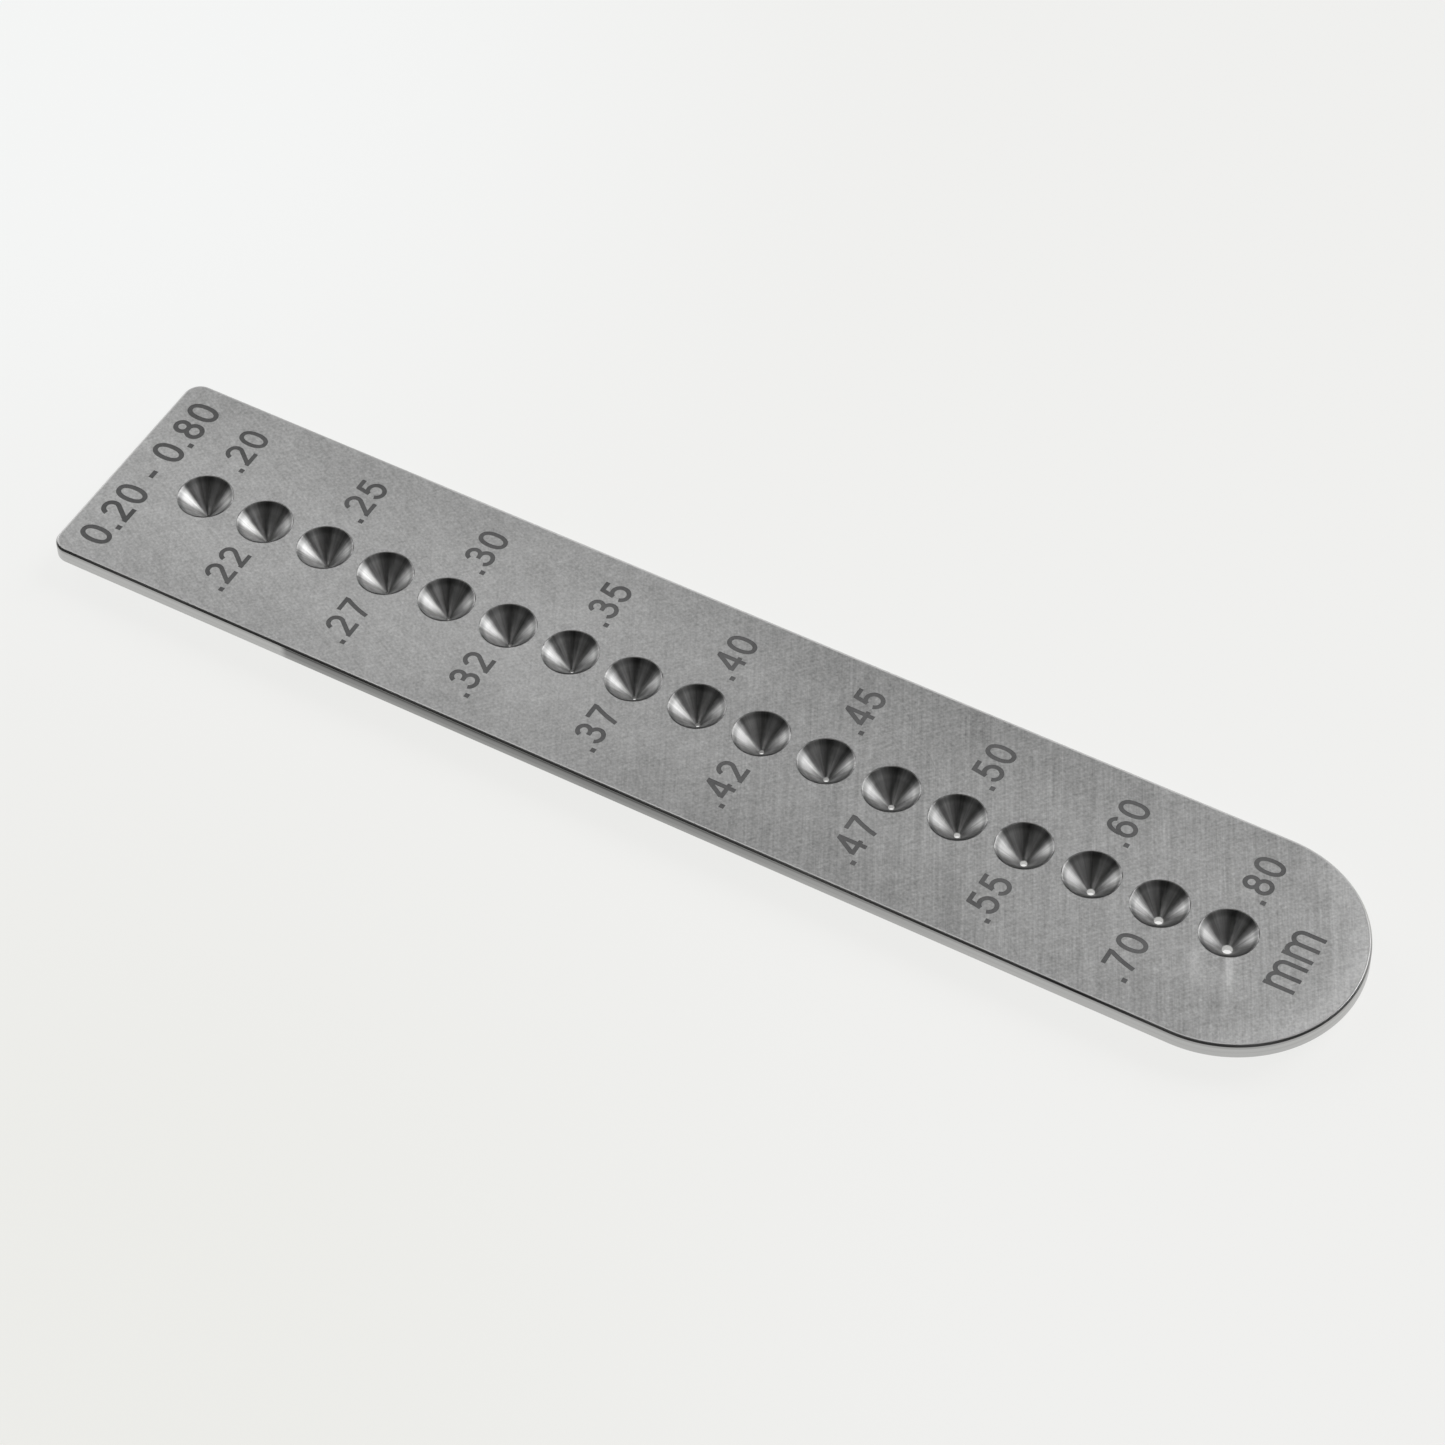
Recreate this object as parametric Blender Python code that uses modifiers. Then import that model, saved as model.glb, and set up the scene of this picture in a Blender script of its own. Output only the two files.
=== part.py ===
"""Taper gauge plate: a flat steel plate with one straight row of conical sockets, each of which ends
in a small sized bore. Metres, +Z up. The plate lies flat, its length runs along X with the round end
at +X, and the origin is at the centre of its underside."""

import math

import bmesh
import bpy

MM = 0.001

# Plate
LENGTH = 106.0 * MM
WIDTH = 20.0 * MM
THICKNESS = 2.5 * MM
CORNER_RADIUS = 1.35 * MM
TOP_EDGE_BREAK = 0.15 * MM
UNDER_BEVEL = 1.2 * MM
CORNER_STEPS = 8
ROUND_END_STEPS = 64

# Row of sockets, counted from the square end. Each bore size is the diameter at the underside.
FIRST_SOCKET = 7.75 * MM
SOCKET_PITCH = 5.5 * MM
MOUTH_DIAMETER = 4.25 * MM
CONE_ANGLE = math.radians(84.0)
BORE_SIZES_MM = (
    0.20, 0.22, 0.25, 0.27, 0.30, 0.32, 0.35, 0.37, 0.40,
    0.42, 0.45, 0.47, 0.50, 0.55, 0.60, 0.70, 0.80,
)
SOCKET_STEPS = 48
CUTTER_OVERSHOOT = 0.5 * MM

STEEL_COLOUR = (0.46, 0.46, 0.45, 1.0)
STEEL_ROUGHNESS = 0.32


def clear_scene():
    for obj in list(bpy.data.objects):
        bpy.data.objects.remove(obj, do_unlink=True)


def new_collection(name):
    collection = bpy.data.collections.new(name)
    bpy.context.scene.collection.children.link(collection)
    return collection


def steel():
    material = bpy.data.materials.new("brushed_steel")
    material.use_nodes = True
    shader = material.node_tree.nodes["Principled BSDF"]
    shader.inputs["Base Color"].default_value = STEEL_COLOUR
    shader.inputs["Metallic"].default_value = 1.0
    shader.inputs["Roughness"].default_value = STEEL_ROUGHNESS
    return material


def arc(centre_x, centre_y, radius, start_deg, end_deg, steps):
    """Points along a circular arc, both ends included."""
    points = []
    for i in range(steps + 1):
        angle = math.radians(start_deg + (end_deg - start_deg) * i / steps)
        points.append((centre_x + radius * math.cos(angle), centre_y + radius * math.sin(angle)))
    return points


def plate_outline():
    """Square end with two small round corners at -X, and a full half-round end at +X."""
    corner_x = -LENGTH / 2 + CORNER_RADIUS
    corner_y = WIDTH / 2 - CORNER_RADIUS
    near_corner = arc(corner_x, -corner_y, CORNER_RADIUS, 180, 270, CORNER_STEPS)
    round_end = arc(LENGTH / 2 - WIDTH / 2, 0, WIDTH / 2, -90, 90, ROUND_END_STEPS)
    far_corner = arc(corner_x, corner_y, CORNER_RADIUS, 90, 180, CORNER_STEPS)
    return near_corner + round_end + far_corner


def extruded(name, outline, thickness, collection):
    """A solid slab of the outline, standing on z = 0."""
    curve = bpy.data.curves.new(name + "_outline", "CURVE")
    curve.dimensions = "2D"
    curve.fill_mode = "BOTH"
    curve.extrude = thickness / 2
    spline = curve.splines.new("POLY")
    spline.points.add(len(outline) - 1)
    for point, (x, y) in zip(spline.points, outline):
        point.co = (x, y, 0, 1)
    spline.use_cyclic_u = True
    drawn = bpy.data.objects.new(name + "_outline", curve)
    collection.objects.link(drawn)
    drawn.location.z = thickness / 2
    bpy.context.view_layer.update()
    evaluated = drawn.evaluated_get(bpy.context.evaluated_depsgraph_get())
    mesh = bpy.data.meshes.new_from_object(evaluated)
    mesh.transform(drawn.matrix_world)
    bpy.data.objects.remove(drawn)
    slab = bpy.data.objects.new(name, mesh)
    collection.objects.link(slab)
    return slab


def weld_caps(bm):
    """Joins the loose caps to the sides and makes each cap one face again."""
    bmesh.ops.remove_doubles(bm, verts=bm.verts, dist=0.001 * MM)
    bmesh.ops.dissolve_limit(bm, angle_limit=math.radians(0.1), verts=bm.verts, edges=bm.edges)


def chamfer_rim(bm, height, width):
    """A 45 degree chamfer round the rim of the flat face at this height."""
    rim = [e for e in bm.edges if all(abs(v.co.z - height) < 0.001 * MM for v in e.verts)]
    bmesh.ops.bevel(bm, geom=rim, offset=width, offset_type="OFFSET", segments=1, affect="EDGES")


def make_plate(collection):
    plate = extruded("taper_plate", plate_outline(), THICKNESS, collection)
    bm = bmesh.new()
    bm.from_mesh(plate.data)
    weld_caps(bm)
    chamfer_rim(bm, THICKNESS, TOP_EDGE_BREAK)
    chamfer_rim(bm, 0.0, UNDER_BEVEL)
    bmesh.ops.recalc_face_normals(bm, faces=bm.faces)
    bm.to_mesh(plate.data)
    bm.free()
    plate.data.materials.append(steel())
    return plate


def socket_profile(bore_radius):
    """Half section of a socket cutter, down its outer side: lid, cone, bore, foot."""
    slope = math.tan(CONE_ANGLE / 2)
    cone_foot = THICKNESS - (MOUTH_DIAMETER / 2 - bore_radius) / slope
    lid = THICKNESS + CUTTER_OVERSHOOT
    return [
        (0.0, lid),
        (MOUTH_DIAMETER / 2 + CUTTER_OVERSHOOT * slope, lid),
        (bore_radius, cone_foot),
        (bore_radius, -CUTTER_OVERSHOOT),
        (0.0, -CUTTER_OVERSHOOT),
    ]


def make_socket_cutter(index, bore_size_mm, collection):
    """A turned cutter, standing on the row's line at its own place."""
    profile = socket_profile(bore_size_mm / 2 * MM)
    mesh = bpy.data.meshes.new("socket_cutter")
    edges = [(i, i + 1) for i in range(len(profile) - 1)]
    mesh.from_pydata([(x, 0, z) for x, z in profile], edges, [])
    cutter = bpy.data.objects.new("socket_cutter_%02d" % (index + 1), mesh)
    collection.objects.link(cutter)
    cutter.location.x = -LENGTH / 2 + FIRST_SOCKET + index * SOCKET_PITCH
    turn = cutter.modifiers.new("turn", "SCREW")
    turn.axis = "Z"
    turn.angle = math.tau
    turn.steps = SOCKET_STEPS
    turn.render_steps = SOCKET_STEPS
    turn.use_merge_vertices = True
    turn.merge_threshold = 0.000001
    cutter.display_type = "WIRE"
    cutter.hide_render = True
    return cutter


def cut_sockets(plate, cutters):
    cut = plate.modifiers.new("sockets", "BOOLEAN")
    cut.operation = "DIFFERENCE"
    cut.operand_type = "COLLECTION"
    cut.collection = cutters
    cut.solver = "EXACT"


def shade(plate):
    """Smooth cones and round end, crisp edges between them."""
    plate.data.shade_smooth()
    plate.data.set_sharp_from_angle(angle=math.radians(30))


def main():
    clear_scene()
    parts = new_collection("taper_gauge_plate")
    cutters = new_collection("cutters")
    plate = make_plate(parts)
    for index, size in enumerate(BORE_SIZES_MM):
        make_socket_cutter(index, size, cutters)
    cut_sockets(plate, cutters)
    shade(plate)


main()
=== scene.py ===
"""Looks of the taper gauge plate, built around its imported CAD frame. Metres, in the frame's own axes:
+X along the plate to its round end, +Y across it, +Z up out of the face with the socket mouths."""

import math

import bmesh
import bpy
import numpy as np
from mathutils import Matrix, Vector, geometry


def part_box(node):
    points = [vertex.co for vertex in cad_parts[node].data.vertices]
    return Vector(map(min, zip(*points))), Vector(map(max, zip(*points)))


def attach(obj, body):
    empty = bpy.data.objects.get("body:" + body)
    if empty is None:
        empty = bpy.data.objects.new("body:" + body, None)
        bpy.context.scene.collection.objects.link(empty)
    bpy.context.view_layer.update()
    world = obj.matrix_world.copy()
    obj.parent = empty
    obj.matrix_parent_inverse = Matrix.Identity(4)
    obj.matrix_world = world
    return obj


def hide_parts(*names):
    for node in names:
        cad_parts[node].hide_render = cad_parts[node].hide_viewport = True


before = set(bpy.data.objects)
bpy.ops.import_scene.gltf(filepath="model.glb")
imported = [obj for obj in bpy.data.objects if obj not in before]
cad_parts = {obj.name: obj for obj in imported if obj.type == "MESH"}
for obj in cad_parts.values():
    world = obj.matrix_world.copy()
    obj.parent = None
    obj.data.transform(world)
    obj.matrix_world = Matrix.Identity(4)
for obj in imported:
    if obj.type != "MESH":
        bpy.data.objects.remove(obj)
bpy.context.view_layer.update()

MM = 0.001
PLATE_NODE = "taper_plate"
plate_low, plate_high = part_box(PLATE_NODE)
LENGTH, WIDTH, THICKNESS = plate_high - plate_low

# Outline and edges
CORNER_RADIUS = 1.35 * MM
TOP_EDGE_BREAK = 0.15 * MM
EDGE_SOFTENING = 0.035 * MM
UNDER_BEVEL = 1.2 * MM
BEVEL_SOFTENING = 0.12 * MM
FLAT_MARGIN = 0.1 * MM
CORNER_STEPS = 14
ROUND_END_STEPS = 96
STRAIGHT_STEPS = 32
EDGE_ARC_STEPS = 4
SOCKET_ARC_STEPS = 3
CREASE_ANGLE = math.radians(30)

# Row of sockets, counted from the square end
FIRST_SOCKET = 7.75 * MM
SOCKET_PITCH = 5.5 * MM
MOUTH_RADIUS = 2.125 * MM
CONE_ANGLE = math.radians(84.0)
MOUTH_SOFTENING = 0.035 * MM
BORE_SOFTENING = 0.02 * MM
SOCKET_STEPS = 72
SIZES = (
    ".20", ".22", ".25", ".27", ".30", ".32", ".35", ".37", ".40",
    ".42", ".45", ".47", ".50", ".55", ".60", ".70", ".80",
)

# Marks: shallow laser-cut pockets with a dark oxide skin on their floor
POCKET_DEPTH = 0.03 * MM
SKIN_TOP = 0.012 * MM
SIZE_HEIGHT = 2.36 * MM
SIZE_BASELINE = 1.13 * MM
SIZE_GAP = 3.24 * MM
RANGE_TEXT = "0.20 - 0.80"
RANGE_HEIGHT = 2.6 * MM
RANGE_LENGTH = 16.75 * MM
RANGE_BASELINE = 3.93 * MM
UNIT_TEXT = "mm"
UNIT_HEIGHT = 3.1 * MM
UNIT_LENGTH = 6.06 * MM
UNIT_BASELINE = 102.2 * MM

# Lettering, in pen units: 80 units make a text's stated height, and the pen's path is about 70 units
# high in a figure. The unit mark has a thinner pen.
FIGURE_HEIGHT = 80
FIGURE_WIDTH = 40
FIGURE_ADVANCE = 64.5
OVAL_STEPS = 48
BOW_STEPS = 26
PEN = 12.5
UNIT_PEN = 9.5
SPACE = 30

# Points closer than this are one point: in metres, and in pen units
WELD = 1e-9
PEN_WELD = 1e-4

# A triangle lies in a socket when its middle is nearer to the axis than this share of the rim's radius
RIM_SHARE = 0.98

# Camera
CAMERA_AZIMUTH_DEG = 31.37
CAMERA_ELEVATION_DEG = 49.455
CAMERA_ROLL = math.radians(-1.738)
CAMERA_DISTANCE = 378.83 * MM
CAMERA_AIM = Vector((1.207, -0.46, 2.5)) * MM
CAMERA_LENS = 127.23
SENSOR_WIDTH = 36.0
NEAR_CLIP = 0.01
FAR_CLIP = 20.0


# ---------------------------------------------------------------- plane curves

def arc(centre_x, centre_y, radius_x, radius_y, start_deg, end_deg, steps):
    """Points along an elliptical arc, both ends included."""
    points = []
    for i in range(steps + 1):
        angle = math.radians(start_deg + (end_deg - start_deg) * i / steps)
        points.append((centre_x + radius_x * math.cos(angle), centre_y + radius_y * math.sin(angle)))
    return points


def between(start, end, steps):
    """Points inside the straight run from start to end, both ends left out."""
    return [
        (start[0] + (end[0] - start[0]) * i / steps, start[1] + (end[1] - start[1]) * i / steps)
        for i in range(1, steps)
    ]


def plate_outline(inset):
    """The plate's outline moved inwards: square end with two small round corners, half-round end."""
    small = CORNER_RADIUS - inset
    large = WIDTH / 2 - inset
    corner_x = plate_low.x + CORNER_RADIUS
    corner_y = WIDTH / 2 - CORNER_RADIUS
    near_corner = arc(corner_x, -corner_y, small, small, 180, 270, CORNER_STEPS)
    round_end = arc(plate_high.x - WIDTH / 2, 0, large, large, -90, 90, ROUND_END_STEPS)
    far_corner = arc(corner_x, corner_y, small, small, 90, 180, CORNER_STEPS)
    near_side = between(near_corner[-1], round_end[0], STRAIGHT_STEPS)
    far_side = between(round_end[-1], far_corner[0], STRAIGHT_STEPS)
    square_end = between(far_corner[-1], near_corner[0], CORNER_STEPS)
    return near_corner + near_side + round_end + far_side + far_corner + square_end


def softened(corners, radii, steps):
    """The open path through the corners, with an arc of the given radius in place of each inner one."""
    path = [corners[0]]
    for before, corner, after, radius in zip(corners, corners[1:], corners[2:], radii):
        corner = Vector(corner)
        back = (Vector(before) - corner).normalized()
        on = (Vector(after) - corner).normalized()
        half = back.angle(on) / 2
        centre = corner + (back + on).normalized() * (radius / math.sin(half))
        start = corner + back * (radius / math.tan(half)) - centre
        end = corner + on * (radius / math.tan(half)) - centre
        for i in range(steps + 1):
            path.append(tuple(centre + start.slerp(end, i / steps).normalized() * radius))
    path.append(corners[-1])
    return path


def edge_section():
    """Half section of the plate's edge as (inset, height): top face, broken edge, side, under-bevel."""
    corners = [
        (TOP_EDGE_BREAK + FLAT_MARGIN, THICKNESS),
        (TOP_EDGE_BREAK, THICKNESS),
        (0.0, THICKNESS - TOP_EDGE_BREAK),
        (0.0, UNDER_BEVEL),
        (UNDER_BEVEL, 0.0),
        (UNDER_BEVEL + BEVEL_SOFTENING, 0.0),
    ]
    radii = (EDGE_SOFTENING, EDGE_SOFTENING, BEVEL_SOFTENING, BEVEL_SOFTENING)
    return softened(corners, radii, EDGE_ARC_STEPS)


def socket_section(bore_radius):
    """Half section of a socket as (radius, height): lip, cone wall, bore."""
    cone_foot = THICKNESS - (MOUTH_RADIUS - bore_radius) / math.tan(CONE_ANGLE / 2)
    corners = [
        (MOUTH_RADIUS + FLAT_MARGIN, THICKNESS),
        (MOUTH_RADIUS, THICKNESS),
        (bore_radius, cone_foot),
        (bore_radius, 0.0),
        (bore_radius + FLAT_MARGIN, 0.0),
    ]
    return softened(corners, (MOUTH_SOFTENING, BORE_SOFTENING, BORE_SOFTENING), SOCKET_ARC_STEPS)


def socket_x(index):
    return plate_low.x + FIRST_SOCKET + index * SOCKET_PITCH


# ---------------------------------------------------------------- lettering

def glyph_strokes(sign):
    """(advance, strokes) of one sign of a plain even-stroke sans. A stroke is (points, closed)."""
    def oval(centre_x, centre_y, radius_x, radius_y, squareness=2.0):
        points = []
        for i in range(OVAL_STEPS):
            angle = math.tau * i / OVAL_STEPS
            c, s = math.cos(angle), math.sin(angle)
            x = math.copysign(abs(c) ** (2 / squareness), c)
            y = math.copysign(abs(s) ** (2 / squareness), s)
            points.append((centre_x + radius_x * x, centre_y + radius_y * y))
        return points, True

    def bow(centre_x, centre_y, radius_x, radius_y, start, end, then=()):
        return arc(centre_x, centre_y, radius_x, radius_y, start, end, BOW_STEPS) + list(then), False

    def line(*points):
        return list(points), False

    if sign == "0":
        return FIGURE_ADVANCE, [oval(20, 35, 20, 35, 2.25)]
    if sign == "2":
        return FIGURE_ADVANCE, [bow(20, 51, 19, 19, 172, -36, [(3, 1)]), line((-4, 0), (44, 0))]
    if sign == "3":
        return FIGURE_ADVANCE, [
            bow(19, 53.5, 16.5, 16.5, 168, -90, [(11, 37)]),
            bow(19.5, 19, 20.5, 19, 90, -166),
        ]
    if sign == "4":
        return FIGURE_ADVANCE, [
            line((32, 75), (32, -5)),
            line((-4, 17), (45, 17)),
            line((30.5, 71), (0, 18.5)),
        ]
    if sign == "5":
        return FIGURE_ADVANCE, [
            line((5.4, 70), (39, 70)),
            line((9.5, 74.5), (3.2, 34)),
            bow(19, 22.5, 21, 22.5, 143, -166),
        ]
    if sign == "6":
        top = arc(21.5, 33, 21, 37, 182, 92, 22) + arc(22, 53, 17, 17, 88, 14, 12)
        return FIGURE_ADVANCE, [oval(20, 22, 19.5, 22), (top, False)]
    if sign == "7":
        stem = [(39.5 - 34 * t + 8 * t * t, 67.5 - 64 * t - 8.5 * t * t) for t in np.linspace(0, 1, 16)]
        return FIGURE_ADVANCE, [line((-3, 70), (44.5, 70)), (stem, False)]
    if sign == "8":
        return FIGURE_ADVANCE, [oval(20, 53.5, 16, 16.5), oval(20, 19, 19.5, 19)]
    if sign == ".":
        return 27.0, [line((0, 0), (0, 0.01))]
    if sign == "-":
        return 38.0, [line((0, 26), (26, 26))]
    if sign == "m":
        arches = [bow(x + 16.5, 37, 16.5, 16, 180, 0, [(x + 33, -5)]) for x in (0, 33)]
        return 90.0, [line((0, 58), (0, -5))] + arches
    return SPACE, []


def ribbon(points, closed, width):
    """The four-sided patches that a pen of this width covers along the points."""
    points = [Vector(p) for p in points]
    if (points[-1] - points[0]).length < 0.1:
        centre, half = points[0], width * 0.55
        corners = [(-half, -half), (half, -half), (half, half), (-half, half)]
        return [[(centre.x + x, centre.y + y) for x, y in corners]]
    count = len(points)
    rims = []
    for i, point in enumerate(points):
        before = points[i - 1] if i or closed else None
        after = points[(i + 1) % count] if i < count - 1 or closed else None
        into = (point - before).normalized() if before else None
        out = (after - point).normalized() if after else None
        along = ((into or out) + (out or into)).normalized()
        side = Vector((-along.y, along.x)) * (width / 2) / max(0.5, along.dot(out or into))
        rims.append((point + side, point - side))
    ends = range(count if closed else count - 1)
    pairs = [(rims[i], rims[(i + 1) % count]) for i in ends]
    return [[tuple(b[0]), tuple(a[0]), tuple(a[1]), tuple(b[1])] for a, b in pairs]


def merged_outline(patches):
    """Directed edges ((x, y), (x, y)) round the union of the patches, with the inside on their left."""
    corners, faces = [], []
    for patch in patches:
        faces.append(list(range(len(corners), len(corners) + len(patch))))
        corners.extend(Vector(p) for p in patch)
    points, _, triangles, _, _, origins = geometry.delaunay_2d_cdt(corners, [], faces, 1, PEN_WELD)
    sides = set()
    for triangle, origin in zip(triangles, origins):
        if origin:
            sides.update((triangle[i - 1], triangle[i]) for i in range(len(triangle)))
    return [(tuple(points[a]), tuple(points[b])) for a, b in sides if (b, a) not in sides]


def text_edges(text, height, start_y, baseline_x, length=None, pen=PEN):
    """Outline edges of a text that reads along +Y with its letters' tops towards -X."""
    unit = height / FIGURE_HEIGHT
    advances = [glyph_strokes(sign)[0] for sign in text]
    natural = sum(advances) * unit
    stretch = length / natural if length else 1.0
    edges = []
    pen_x = 0.0
    for sign, advance in zip(text, advances):
        strokes = glyph_strokes(sign)[1]
        if strokes:
            reach = [x for points, _ in strokes for x, _ in points]
            width = min(reach) + max(reach) if sign in ".-m" else FIGURE_WIDTH
            margin = (advance - width) / 2
            patches = []
            for points, closed in strokes:
                drawn = [((pen_x + margin + x) * stretch, y + pen / 2) for x, y in points]
                patches.extend(ribbon(drawn, closed, pen))
            edges.extend(merged_outline(patches))
        pen_x += advance

    def placed(point):
        return baseline_x - point[1] * unit, start_y + point[0] * unit

    return [(placed(a), placed(b)) for a, b in edges]


def mark_edges():
    """Outline edges of every mark, by the name of the piece that fills it."""
    marks = {"far_row_sizes": [], "near_row_sizes": [], "range_mark": [], "unit_mark": []}
    label = sum(glyph_strokes(sign)[0] for sign in SIZES[0]) * SIZE_HEIGHT / FIGURE_HEIGHT
    for index, size in enumerate(SIZES):
        name, start = (("far_row_sizes", SIZE_GAP), ("near_row_sizes", -SIZE_GAP - label))[index % 2]
        marks[name] += text_edges(size, SIZE_HEIGHT, start, socket_x(index) + SIZE_BASELINE)
    marks["range_mark"] = text_edges(
        RANGE_TEXT, RANGE_HEIGHT, -RANGE_LENGTH / 2, plate_low.x + RANGE_BASELINE, RANGE_LENGTH)
    marks["unit_mark"] = text_edges(
        UNIT_TEXT, UNIT_HEIGHT, -UNIT_LENGTH / 2, plate_low.x + UNIT_BASELINE, UNIT_LENGTH, UNIT_PEN)
    return marks


# ---------------------------------------------------------------- meshes

def inside(points, edges):
    """For each point, whether it lies inside the closed outlines that the edges form."""
    points = np.array(points)
    edges = np.array(edges)
    ax, ay, bx, by = edges[:, 0, 0], edges[:, 0, 1], edges[:, 1, 0], edges[:, 1, 1]
    px, py = points[:, :1], points[:, 1:]
    spans = (ay > py) != (by > py)
    run = np.where(by == ay, 1.0, by - ay)
    crossing_x = ax + (py - ay) * (bx - ax) / run
    return (spans & (px < crossing_x)).sum(1) % 2 == 1


def flat_face(rings, edges=()):
    """Triangles of the flat area between the first ring, the other rings and the marks' edges.
    Returns (points, triangles, places), where places holds each ring's points in the result."""
    corners, sides = [], []
    for ring in rings:
        first = len(corners)
        corners.extend(Vector(p) for p in ring)
        sides.extend((first + i, first + (i + 1) % len(ring)) for i in range(len(ring)))
    known = {}
    for edge in edges:
        for end in edge:
            if end not in known:
                known[end] = len(corners)
                corners.append(Vector(end))
        sides.append((known[edge[0]], known[edge[1]]))
    points, _, triangles, origins, _, _ = geometry.delaunay_2d_cdt(corners, sides, [], 1, WELD)
    new_place = {}
    for place, sources in enumerate(origins):
        for source in sources:
            new_place[source] = place
    places, first = [], 0
    for ring in rings:
        places.append([new_place[first + i] for i in range(len(ring))])
        first += len(ring)
    return [tuple(p) for p in points], triangles, places


def centres_of(points, triangles):
    return np.array(points)[np.array(triangles)].mean(1)


def strip(bm, upper, lower, material):
    """Quads between two closed rings of vertices, the first above or outside the second."""
    for i in range(len(upper)):
        j = (i + 1) % len(upper)
        face = bm.faces.new((upper[i], lower[i], lower[j], upper[j]))
        face.material_index = material
        face.smooth = True


def ring_vertices(bm, ring, height):
    return [bm.verts.new((x, y, height)) for x, y in ring]


def walls(bm, top, bottom, triangles, material):
    """Upright walls round an area of triangles, from its top to its bottom vertices."""
    sides = set()
    for triangle in triangles:
        sides.update((triangle[i - 1], triangle[i]) for i in range(3))
    for a, b in sides:
        if (b, a) not in sides:
            face = bm.faces.new((top[b], top[a], bottom[a], bottom[b]))
            face.material_index = material


FACE, EDGE, TURNED, DRILLED = 0, 1, 2, 3


def build_plate(marks):
    """The whole plate as one closed surface, with every socket, bore and mark pocket in it."""
    bm = bmesh.new()
    edge = edge_section()
    bores = [float(size) / 2 * MM for size in SIZES]
    sections = [socket_section(radius) for radius in bores]
    centres = [(socket_x(i), 0.0) for i in range(len(SIZES))]

    def socket_ring(index, radius):
        return arc(*centres[index], radius, radius, 0, 360, SOCKET_STEPS)[:-1]

    # Top face
    top_rings = [plate_outline(edge[0][0])]
    top_rings += [socket_ring(i, section[0][0]) for i, section in enumerate(sections)]
    all_marks = [e for group in marks.values() for e in group]
    points, triangles, places = flat_face(top_rings, all_marks)
    middles = centres_of(points, triangles)
    in_socket = np.zeros(len(triangles), bool)
    for (x, y), section in zip(centres, sections):
        in_socket |= np.hypot(middles[:, 0] - x, middles[:, 1] - y) < section[0][0] * RIM_SHARE
    in_mark = inside(middles, all_marks)
    top = [bm.verts.new((x, y, THICKNESS)) for x, y in points]
    for triangle, socketed, marked in zip(triangles, in_socket, in_mark):
        if not socketed and not marked:
            bm.faces.new([top[i] for i in triangle]).material_index = FACE
    marked = [t for t, m in zip(triangles, in_mark) if m]
    floor = {i: bm.verts.new((*points[i], THICKNESS - POCKET_DEPTH)) for t in marked for i in t}
    for triangle in marked:
        bm.faces.new([floor[i] for i in triangle]).material_index = FACE
    walls(bm, floor, {i: top[i] for i in floor}, marked, FACE)

    # Underside
    under_rings = [plate_outline(edge[-1][0])]
    under_rings += [socket_ring(i, section[-1][0]) for i, section in enumerate(sections)]
    under_points, under_triangles, under_places = flat_face(under_rings)
    under = [bm.verts.new((x, y, 0.0)) for x, y in under_points]
    for triangle, middle in zip(under_triangles, centres_of(under_points, under_triangles)):
        offsets = [math.hypot(middle[0] - x, middle[1] - y) for x, y in centres]
        nearest = int(np.argmin(offsets))
        if offsets[nearest] > sections[nearest][-1][0] * RIM_SHARE:
            bm.faces.new([under[i] for i in reversed(triangle)]).material_index = FACE

    # Edge all round, then the sockets
    rings = [[top[i] for i in places[0]]]
    rings += [ring_vertices(bm, plate_outline(inset), height) for inset, height in edge[1:-1]]
    rings.append([under[i] for i in under_places[0]])
    for upper, lower in zip(rings, rings[1:]):
        strip(bm, upper, lower, EDGE)
    for index, section in enumerate(sections):
        rings = [[top[i] for i in places[index + 1]]]
        rings += [ring_vertices(bm, socket_ring(index, r), height) for r, height in section[1:-1]]
        rings.append([under[i] for i in under_places[index + 1]])
        foot = min(i for i, (radius, _) in enumerate(section) if radius <= bores[index] + WELD)
        for i, (upper, lower) in enumerate(zip(rings, rings[1:])):
            strip(bm, lower, upper, TURNED if i < foot else DRILLED)
    bmesh.ops.delete(bm, geom=[v for v in bm.verts if not v.link_faces], context="VERTS")
    return finished(bm, "steel_plate"), (points, triangles)


def build_mark_skins(marks, points, triangles):
    """One thin closed skin for each group of marks, lying on the pockets' floors."""
    middles = centres_of(points, triangles)
    skins = []
    for name, edges in marks.items():
        chosen = [t for t, m in zip(triangles, inside(middles, edges)) if m]
        bm = bmesh.new()
        top = {i: bm.verts.new((*points[i], THICKNESS - SKIN_TOP)) for t in chosen for i in t}
        floor = {i: bm.verts.new((*points[i], THICKNESS - POCKET_DEPTH)) for i in top}
        for triangle in chosen:
            bm.faces.new([top[i] for i in triangle])
            bm.faces.new([floor[i] for i in reversed(triangle)])
        walls(bm, top, floor, chosen, 0)
        skins.append(finished(bm, name))
    return skins


def finished(bm, name):
    """Turns the mesh into an object, with smooth curved faces and crisp edges between flat ones."""
    mesh = bpy.data.meshes.new(name)
    bm.to_mesh(mesh)
    bm.free()
    mesh.set_sharp_from_angle(angle=CREASE_ANGLE)
    piece = bpy.data.objects.new(name, mesh)
    bpy.context.scene.collection.objects.link(piece)
    return piece


# ---------------------------------------------------------------- materials

def put(tree, kind, inputs=None, **settings):
    """A new node with its settings and inputs. An input that is a socket is linked."""
    node = tree.nodes.new(kind)
    for name, value in settings.items():
        setattr(node, name, value)
    for name, value in (inputs or {}).items():
        if isinstance(value, bpy.types.NodeSocket):
            tree.links.new(value, node.inputs[name])
        else:
            node.inputs[name].default_value = value
    return node


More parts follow.
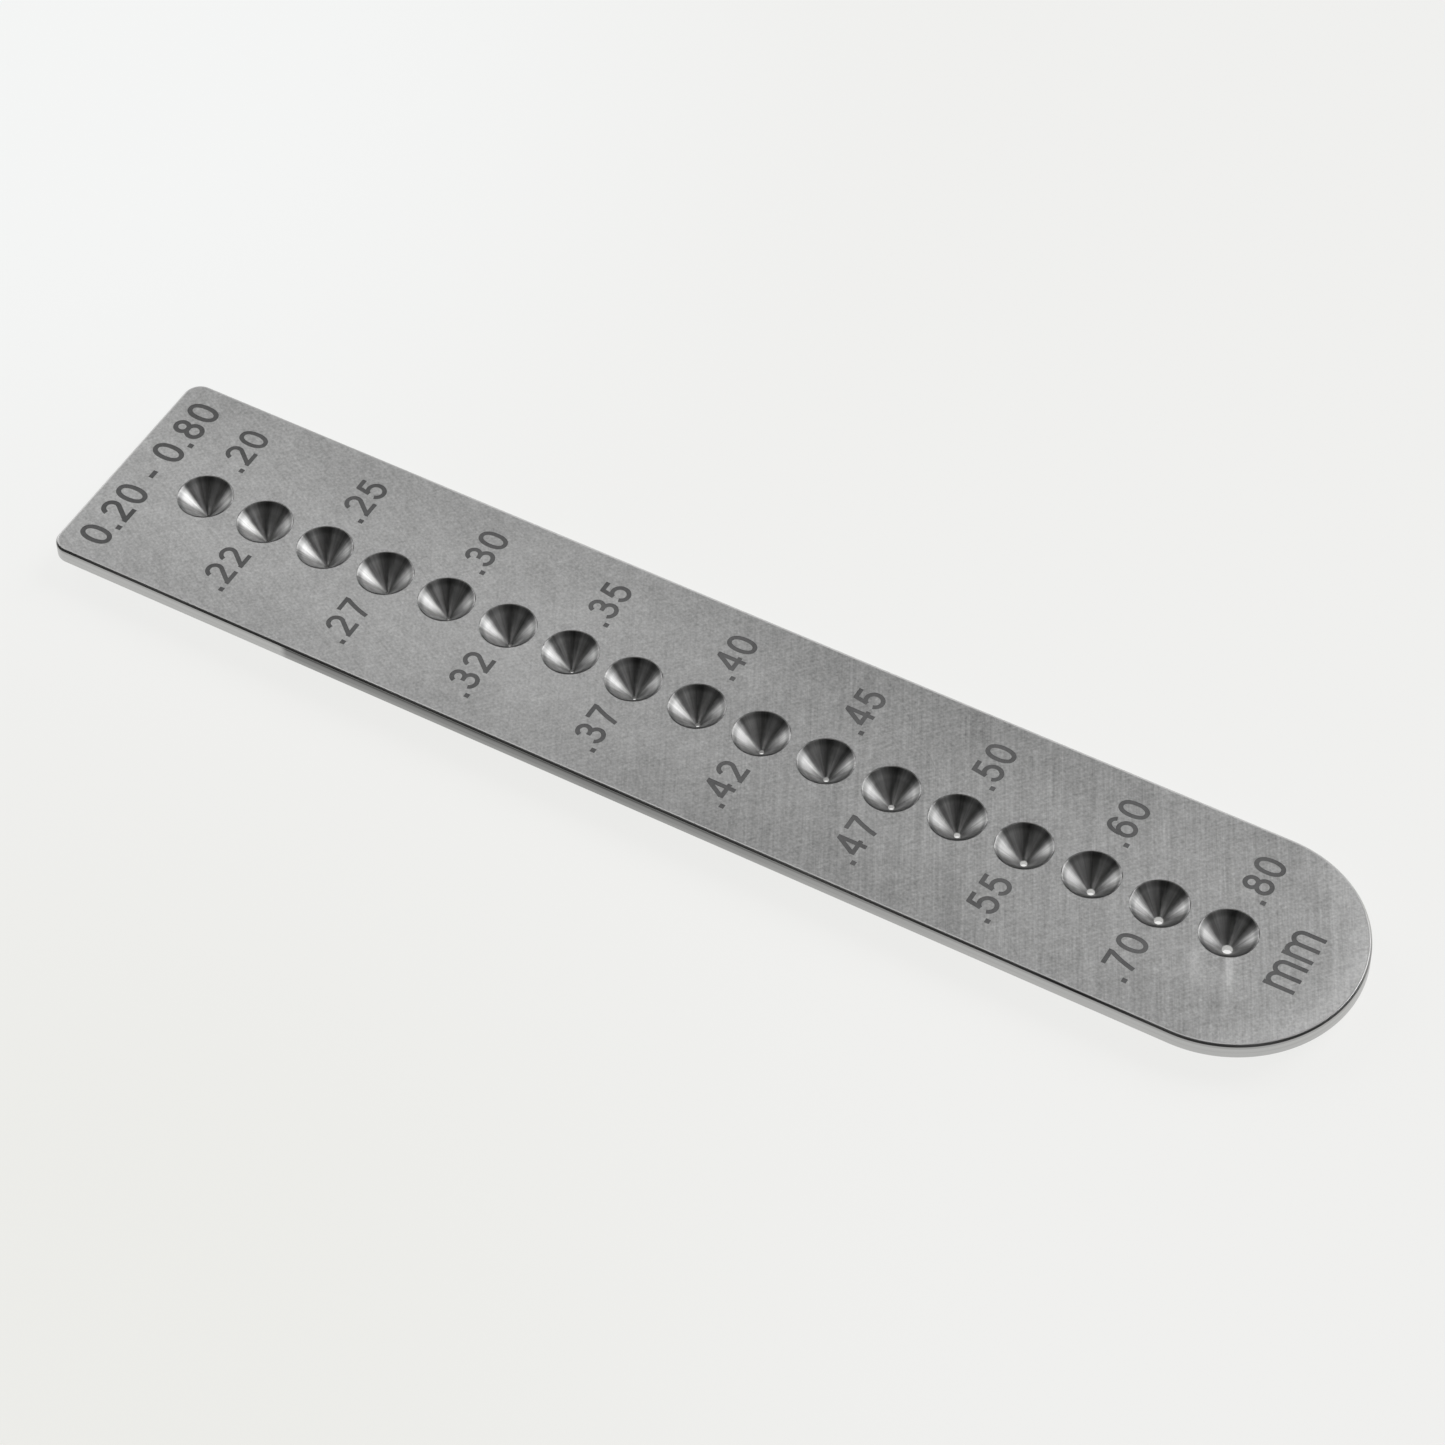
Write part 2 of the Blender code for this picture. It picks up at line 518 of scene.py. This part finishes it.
def maths(tree, operation, first, second=0.0):
    return put(tree, "ShaderNodeMath", {0: first, 1: second}, operation=operation).outputs[0]


def joined(tree, operation, values):
    """The values put together in order by one operation."""
    total = values[0]
    for value in values[1:]:
        total = maths(tree, operation, total, value)
    return total


def added(tree, *values):
    return joined(tree, "ADD", values)


def multiplied(tree, *values):
    return joined(tree, "MULTIPLY", values)


def vector_maths(tree, operation, first, second=(0.0, 0.0, 0.0), scale=1.0):
    """A vector operation. The result is a number where the operation gives one, else a vector."""
    node = put(tree, "ShaderNodeVectorMath", {0: first, 1: second, 3: scale}, operation=operation)
    gives_number = operation in ("LENGTH", "DISTANCE", "DOT_PRODUCT")
    return node.outputs["Value" if gives_number else "Vector"]


def parts_of(tree, vector):
    """The x, y and z of a vector."""
    return put(tree, "ShaderNodeSeparateXYZ", {0: vector}).outputs


def turned_about_z(tree, vector, angle_deg):
    inputs = {"Vector": vector, "Angle": math.radians(angle_deg)}
    return put(tree, "ShaderNodeVectorRotate", inputs, rotation_type="Z_AXIS").outputs[0]


def ramp(tree, value, low, high, to_low=0.0, to_high=1.0):
    """Maps low..high of the value onto to_low..to_high, smoothly and clamped."""
    inputs = {"Value": value, "From Min": low, "From Max": high, "To Min": to_low, "To Max": to_high}
    return put(tree, "ShaderNodeMapRange", inputs, interpolation_type="SMOOTHSTEP").outputs[0]


def hump(tree, value, middle, reach, core, amount=1.0):
    """The full amount within the core of the middle, fading to nothing at the reach."""
    away = maths(tree, "ABSOLUTE", maths(tree, "SUBTRACT", value, middle))
    return ramp(tree, away, reach, core, 0.0, amount)


def new_material(name, metallic, specular=0.5):
    """(material, tree, shader, place), where place is the object's own coordinates in millimetres."""
    material = bpy.data.materials.new(name)
    material.use_nodes = True
    tree = material.node_tree
    shader = tree.nodes["Principled BSDF"]
    shader.inputs["Metallic"].default_value = metallic
    shader.inputs["Specular IOR Level"].default_value = specular
    metres = put(tree, "ShaderNodeTexCoord").outputs["Object"]
    return material, tree, shader, vector_maths(tree, "SCALE", metres, scale=1 / MM)


def noise(tree, place, scale, detail=2.0, roughness=0.5):
    inputs = {"Vector": place, "Scale": scale, "Detail": detail, "Roughness": roughness}
    return put(tree, "ShaderNodeTexNoise", inputs).outputs["Fac"]


def brush_lines(tree, place, direction_deg, length, width, seed, detail=3.0):
    """Streaks of this length and width, in millimetres, that run in this direction."""
    squeezed = put(tree, "ShaderNodeMapping", {
        "Vector": turned_about_z(tree, place, -direction_deg),
        "Location": (seed, seed, seed),
        "Scale": (1 / length, 1 / width, 1 / length),
    })
    return noise(tree, squeezed.outputs[0], 1.0, detail, 0.6)


def weighted_sum(tree, terms):
    """Sum of (value - 0.5) * weight over the terms, around 0."""
    total = 0.0
    for value, weight in terms:
        term = maths(tree, "MULTIPLY", maths(tree, "SUBTRACT", value, 0.5), weight)
        total = maths(tree, "ADD", term, total)
    return total


def tint(tree, shader, colour, brightness):
    """Base colour of the shader: the colour times a varying brightness."""
    tree.links.new(vector_maths(tree, "SCALE", colour, scale=brightness), shader.inputs["Base Color"])


def roughen(tree, shader, level, terms):
    """Roughness of the shader: the level, varied by the weighted terms."""
    tree.links.new(added(tree, weighted_sum(tree, terms), level), shader.inputs["Roughness"])


def bump(tree, shader, height, distance):
    node = put(tree, "ShaderNodeBump", {"Height": height, "Strength": 1.0, "Distance": distance})
    tree.links.new(node.outputs[0], shader.inputs["Normal"])


STEEL = (0.60, 0.60, 0.595)
BORE_STEEL = (1.0, 1.0, 0.99)
OXIDE = (0.155, 0.155, 0.155)

# Places on the plate that the finishes refer to, in millimetres
TOP_Z = THICKNESS / MM
ROUND_CENTRE_X = (plate_high.x - WIDTH / 2) / MM
LAST_SOCKET_X = socket_x(len(SIZES) - 1) / MM
# Middles of the painted light and the painted shade along the face
LIGHTER_PAINTED_X = -14.0
DARKER_PAINTED_X = 11.0

# Stretches along X over which the brushing changes towards each end
TO_ROUND_END = (-30.0, 25.0)
TO_SQUARE_END = (20.0, -35.0)

# The side of each socket wall that gets painted shade, as a direction from its axis
PAINTED_SHADE_SIDE = (0.52, -0.85, 0.0)


def hair_lines(tree, place, direction_deg, seed):
    """A few long, thin, gently curved scratches: level lines of a slow drawn-out noise, with gaps."""
    slow = brush_lines(tree, place, direction_deg, 90.0, 13.0, seed, 0.0)
    gaps = ramp(tree, noise(tree, place, 0.09, 1.0), 0.45, 0.58)
    return multiplied(tree, hump(tree, slow, 0.5, 0.0022, 0.0), gaps)


def streak_at(tree, place, start, direction_deg, length, width):
    """One soft streak that begins sharply at the start and fades along its length."""
    shifted = vector_maths(tree, "SUBTRACT", place, (start[0], start[1], 0.0))
    along, across, _ = parts_of(tree, turned_about_z(tree, shifted, -direction_deg))
    narrow = hump(tree, across, 0.0, width, 0.0)
    return multiplied(tree, narrow, ramp(tree, along, -0.4, 0.0), ramp(tree, along, length, 0.0))


def brushed_face():
    """Satin face: fine streaks across the round end that turn flatter and cross towards the square end,
    soft blotches and hair scratches. Painted light and shade make it brighter at one place along the plate,
    darker at another and towards the long edges, and lighter round the round end; two soft painted glints
    lie by the last socket."""
    material, tree, shader, place = new_material("brushed_steel_face", 1.0)
    x, y, _ = parts_of(tree, place)
    steep = brush_lines(tree, place, -62.0, 7.0, 0.14, 3.1)
    steep_broad = brush_lines(tree, place, -66.0, 16.0, 0.55, 7.7, 2.0)
    shallow = brush_lines(tree, place, -28.0, 2.2, 0.17, 11.3)
    crossing = brush_lines(tree, place, 48.0, 2.0, 0.19, 19.9)
    grain = noise(tree, place, 4.5, 3.0, 0.65)
    blotches = noise(tree, place, 0.16, 2.0, 0.5)
    patches = noise(tree, place, 0.9, 3.0, 0.6)
    streaks = weighted_sum(tree, (
        (steep, ramp(tree, x, *TO_ROUND_END, 0.2, 0.5)),
        (steep_broad, ramp(tree, x, *TO_ROUND_END, 0.0, 0.24)),
        (shallow, ramp(tree, x, *TO_SQUARE_END, 0.12, 0.38)),
        (crossing, ramp(tree, x, *TO_SQUARE_END, 0.38, 0.26)),
        (grain, 0.84),
    ))
    blotch_tone = weighted_sum(tree, ((blotches, 0.18), (patches, 0.27)))
    # across: painted shade, darker towards the long edges and a little towards the far side
    from_row = maths(tree, "ABSOLUTE", y)
    across = added(tree, ramp(tree, y, -9.0, 9.0, 0.005, -0.02), ramp(tree, from_row, 3.0, 9.0, 0.02, -0.07))
    # Painted light and shade along the plate: lighter round one place, darker round another
    painted_light_hump = hump(tree, x, LIGHTER_PAINTED_X, 22.0, 2.0, 0.03)
    painted_shade_dip = hump(tree, x, DARKER_PAINTED_X, 24.0, 3.0, 0.115)
    along = maths(tree, "SUBTRACT", added(tree, 0.95, painted_light_hump), painted_shade_dip)
    bright_hairs = multiplied(tree, hair_lines(tree, place, 20.0, 5.0), 0.07)
    dark_hairs = multiplied(tree, hair_lines(tree, place, -38.0, 31.0), 0.09)
    hairs = maths(tree, "SUBTRACT", bright_hairs, dark_hairs)
    # rim: painted light on the face round the round end
    from_centre = vector_maths(tree, "DISTANCE", place, (ROUND_CENTRE_X, 0.0, TOP_Z))
    past_centre = ramp(tree, x, ROUND_CENTRE_X, ROUND_CENTRE_X + 5.0, 0.0, 0.24)
    rim = multiplied(tree, ramp(tree, from_centre, 6.5, 9.6), past_centre)
    # Two painted glints, soft bright streaks by the last socket
    strong_painted_glint = streak_at(tree, place, (LAST_SOCKET_X + 1.1, -2.0), -67.0, 6.5, 0.6)
    faint_painted_glint = streak_at(tree, place, (LAST_SOCKET_X - 1.45, -2.6), -60.0, 7.0, 0.9)
    painted_glints = added(tree, multiplied(tree, strong_painted_glint, 0.36), multiplied(tree, faint_painted_glint, 0.12))
    tint(tree, shader, STEEL, added(tree, streaks, blotch_tone, across, hairs, painted_glints, rim, along))
    roughness = added(tree, multiplied(tree, streaks, 0.2), 0.36)
    tree.links.new(roughness, shader.inputs["Roughness"])
    bump(tree, shader, streaks, 0.004 * MM)
    return material


def cut_edge():
    """Sides and bevels, with fine grinding lines along the edge. A painted dark reflection, a run with a
    sharp start, lies on the near side. All round there is a thin score, a painted shadow band under the
    broken edge and a painted highlight on the corner above it, and a painted highlight lightens the tip of
    the round end."""
    material, tree, shader, place = new_material("ground_steel_edge", 1.0)
    x, y, z = parts_of(tree, place)
    depth = maths(tree, "SUBTRACT", TOP_Z, z)
    lines = put(tree, "ShaderNodeMapping", {"Vector": place, "Scale": (0.12, 0.12, 9.0)}).outputs[0]
    ground = noise(tree, lines, 1.0, 4.0, 0.6)
    patches = noise(tree, place, 0.1, 2.0, 0.5)
    # run: a painted dark reflection on the near side, stronger higher up the side
    run_start = ramp(tree, x, -31.9, -31.2)
    run_fade = ramp(tree, x, 38.0, -5.0)
    near_side = ramp(tree, y, 0.0, -8.0)
    under_band = ramp(tree, depth, 0.14, 0.20)
    dark_reflection_strength = ramp(tree, depth, 1.5, 0.0, 0.22, 0.53)
    run = multiplied(tree, run_start, run_fade, near_side, under_band, dark_reflection_strength)
    score = hump(tree, depth, 0.78, 0.10, 0.03, 0.06)
    # band: painted shadow under the broken edge, all round
    band = multiplied(tree, ramp(tree, depth, 0.44, 0.30), ramp(tree, depth, 0.08, 0.14), 0.20)
    # corner and tip: painted highlights on the broken edge and on the round end's tip
    in_corner = ramp(tree, depth, 0.09, 0.03)
    corner = multiplied(
        tree, in_corner, ramp(tree, x, -33.0, -29.0, 0.2, 0.48), ramp(tree, x, 50.5, 46.0, 0.2, 1.0))
    tip = multiplied(tree, ramp(tree, x, 49.5, 52.5, 0.0, 0.12), ramp(tree, depth, 0.30, 0.15))
    darker = added(tree, run, score, band)
    varied = weighted_sum(tree, ((ground, 0.25), (patches, 0.12)))
    lighter = added(tree, varied, 0.86, corner, tip)
    tint(tree, shader, STEEL, maths(tree, "SUBTRACT", lighter, darker))
    roughen(tree, shader, 0.34, ((ground, 0.2), (patches, 0.15)))
    bump(tree, shader, weighted_sum(tree, ((ground, 1.0),)), 0.006 * MM)
    return material


def turned_wall():
    """Socket walls: turned grooves round the cone stretch the reflections down it. Fine streaks run
    down the wall, a darker ring follows the rim and one side of each wall gets painted shade."""
    material, tree, shader, place = new_material("turned_steel", 1.0)
    x, y, _ = parts_of(tree, place)
    row_start = (plate_low.x + FIRST_SOCKET - SOCKET_PITCH / 2) / MM
    pitch = SOCKET_PITCH / MM
    step = maths(tree, "DIVIDE", maths(tree, "SUBTRACT", x, row_start), pitch)
    offset = multiplied(tree, maths(tree, "SUBTRACT", maths(tree, "FRACT", step), 0.5), pitch)
    own_seed = multiplied(tree, maths(tree, "FLOOR", step), 7.3)
    flat = put(tree, "ShaderNodeCombineXYZ", {0: offset, 1: y}).outputs[0]
    radius = vector_maths(tree, "LENGTH", flat)
    turn = vector_maths(tree, "NORMALIZE", flat)
    drift = added(tree, multiplied(tree, radius, 0.25), own_seed)
    shift = put(tree, "ShaderNodeCombineXYZ", {2: drift}).outputs[0]
    around = vector_maths(tree, "ADD", vector_maths(tree, "MULTIPLY", turn, (9.0, 9.0, 1.0)), shift)
    outwards = put(tree, "ShaderNodeCombineXYZ", {0: multiplied(tree, radius, 6.0), 1: own_seed}).outputs[0]
    streaks = noise(tree, around, 1.0, 4.0, 0.65)
    rings = noise(tree, outwards, 1.0, 3.0, 0.7)
    stains = noise(tree, place, 1.1, 2.0, 0.5)
    varied = added(tree, weighted_sum(tree, ((streaks, 1.15), (rings, 0.25), (stains, 0.2))), 0.92)
    # Painted shade on one side of each socket wall, the side towards the given direction
    nearness = vector_maths(tree, "DOT_PRODUCT", turn, PAINTED_SHADE_SIDE)
    painted_wall_shade = multiplied(tree, ramp(tree, nearness, 0.1, 0.55), ramp(tree, radius, 0.8, 1.5), 0.44)
    unshaded_share = maths(tree, "SUBTRACT", 1.0, painted_wall_shade)
    # A darker ring along the rim
    darker_ring = ramp(tree, radius, 1.70, 1.98, 1.0, 0.6)
    tint(tree, shader, STEEL, multiplied(tree, varied, unshaded_share, darker_ring))
    roughen(tree, shader, 0.34, ((streaks, 0.10), (rings, 0.05)))
    shader.inputs["Anisotropic"].default_value = 0.9
    tree.links.new(turn, shader.inputs["Tangent"])
    return material


def drilled_bore():
    """Bore walls: painted shade, darkest in the small bores towards the square end and brighter towards the
    larger ones.
    """
    material, tree, shader, place = new_material("drilled_steel", 1.0)
    x, _, _ = parts_of(tree, place)
    # Painted shade in the bores, darkest towards the square end
    painted_bore_shade = ramp(tree, x, -10.0, 25.0, 0.14, 0.6)
    speckle = added(tree, weighted_sum(tree, ((noise(tree, place, 9.0), 0.4),)), 1.0)
    tint(tree, shader, BORE_STEEL, multiplied(tree, painted_bore_shade, speckle))
    shader.inputs["Roughness"].default_value = 0.35
    return material


def laser_oxide():
    """Marks: dull dark oxide, darkest at the square end and uneven where the beam crossed brush lines."""
    material, tree, shader, place = new_material("laser_oxide", 0.35)
    x, _, _ = parts_of(tree, place)
    speckle = noise(tree, place, 7.0, 3.0, 0.65)
    blotches = noise(tree, place, 0.35, 2.0, 0.5)
    uneven = added(tree, weighted_sum(tree, ((speckle, 0.9), (blotches, 0.7))), 1.0)
    end_tone = ramp(tree, x, -50.0, -10.0, 0.80, 0.97)
    tint(tree, shader, OXIDE, multiplied(tree, uneven, end_tone))
    roughen(tree, shader, 0.6, ((speckle, 0.3),))
    bump(tree, shader, speckle, 0.004 * MM)
    return material


# ---------------------------------------------------------------- stage

FLOOR_REACH = 4.0
FLOOR_GAP = 0.05 * MM
FLOOR_BASE = (0.10, 0.10, 0.10, 1)
FLOOR_GLOW = (0.811, 0.811, 0.797)

# Areas where the floor's glow differs: the middle in metres, and the change of red, green and blue
GLOW_AREAS = (
    ((-0.085, 0.038, 0.0), (0.036, 0.044, 0.052)),
    ((-0.015, -0.075, 0.0), (-0.028, -0.028, -0.042)),
)
GLOW_REACH = 75 * MM
GLOW_CORE = 15 * MM


def pale_floor():
    """The floor's material: mostly its own even glow, with two soft areas that differ a little."""
    material = bpy.data.materials.new("pale_floor")
    material.use_nodes = True
    tree = material.node_tree
    shader = tree.nodes["Principled BSDF"]
    shader.inputs["Base Color"].default_value = FLOOR_BASE
    shader.inputs["Roughness"].default_value = 0.9
    shader.inputs["Specular IOR Level"].default_value = 0.0
    place = put(tree, "ShaderNodeTexCoord").outputs["Object"]
    glow = FLOOR_GLOW
    for middle, change in GLOW_AREAS:
        away = vector_maths(tree, "DISTANCE", place, middle)
        share = ramp(tree, away, GLOW_REACH, GLOW_CORE)
        glow = vector_maths(tree, "ADD", glow, vector_maths(tree, "SCALE", change, scale=share))
    tree.links.new(glow, shader.inputs["Emission Color"])
    shader.inputs["Emission Strength"].default_value = 1.0
    return material


def make_floor():
    mesh = bpy.data.meshes.new("floor")
    bm = bmesh.new()
    bmesh.ops.create_grid(bm, x_segments=1, y_segments=1, size=FLOOR_REACH)
    bm.to_mesh(mesh)
    bm.free()
    floor = bpy.data.objects.new("floor", mesh)
    bpy.context.scene.collection.objects.link(floor)
    floor.location.z = -FLOOR_GAP
    floor.data.materials.append(pale_floor())


def direction(azimuth_deg, elevation_deg):
    """Unit vector towards a light or the camera. Azimuth 0 is along -Y, and 90 is along +X."""
    a = math.radians(azimuth_deg)
    e = math.radians(elevation_deg)
    return Vector((math.sin(a) * math.cos(e), -math.cos(a) * math.cos(e), math.sin(e)))


# Soft lights: azimuth, elevation, radiance, and the angles from the middle where each begins and ends to
# fade. All but the low fill are the values of a least-squares fit, slightly changed.
LIGHTS = {
    "main box, far side": (155, 38, 4.8, 15, 24),
    "second box, square end": (250, 28, 2.9, 0, 26),
    "top box, round end": (100, 65, 1.8, 0, 15),
    "top box, square end": (310, 60, 0.45, 5, 18),
    "face box, mirrored by the face": (212, 46, 0.7, 0, 20),
    "low fill, in front": (45, 12, 0.22, 5, 25),
}
AMBIENT = 0.006


def make_world():
    """A dark studio lit by the soft lights, each a smooth spot of brightness at a far distance."""
    world = bpy.data.worlds.new("studio")
    world.use_nodes = True
    tree = world.node_tree
    towards = put(tree, "ShaderNodeTexCoord").outputs["Generated"]
    total = AMBIENT
    for azimuth, elevation, radiance, inner, outer in LIGHTS.values():
        facing = vector_maths(tree, "DOT_PRODUCT", towards, direction(azimuth, elevation))
        edge = math.cos(math.radians(outer))
        core = math.cos(math.radians(inner))
        total = maths(tree, "ADD", ramp(tree, facing, edge, core, 0.0, radiance), total)
    background = tree.nodes["Background"]
    background.inputs["Color"].default_value = (1, 1, 1, 1)
    tree.links.new(total, background.inputs["Strength"])
    bpy.context.scene.world = world


def make_camera():
    data = bpy.data.cameras.new("camera")
    data.lens = CAMERA_LENS
    data.sensor_width = SENSOR_WIDTH
    data.clip_start = NEAR_CLIP
    data.clip_end = FAR_CLIP
    camera = bpy.data.objects.new("camera", data)
    bpy.context.scene.collection.objects.link(camera)
    back = direction(CAMERA_AZIMUTH_DEG, CAMERA_ELEVATION_DEG)
    level = Vector((0, 0, 1)).cross(back).normalized()
    rise = back.cross(level)
    right = level * math.cos(CAMERA_ROLL) + rise * math.sin(CAMERA_ROLL)
    up = back.cross(right)
    camera.matrix_world = Matrix.Translation(CAMERA_AIM + back * CAMERA_DISTANCE) @ Matrix(
        (right, up, back)).transposed().to_4x4()
    bpy.context.scene.camera = camera


# ---------------------------------------------------------------- the scene

marks = mark_edges()
plate, (face_points, face_triangles) = build_plate(marks)
for make in (brushed_face, cut_edge, turned_wall, drilled_bore):
    plate.data.materials.append(make())
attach(plate, "root")
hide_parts(PLATE_NODE)

oxide = laser_oxide()
for skin in build_mark_skins(marks, face_points, face_triangles):
    skin.data.materials.append(oxide)
    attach(skin, "root")

make_floor()
make_world()
make_camera()
bpy.context.scene.view_settings.view_transform = "Standard"

bpy.context.view_layer.update()
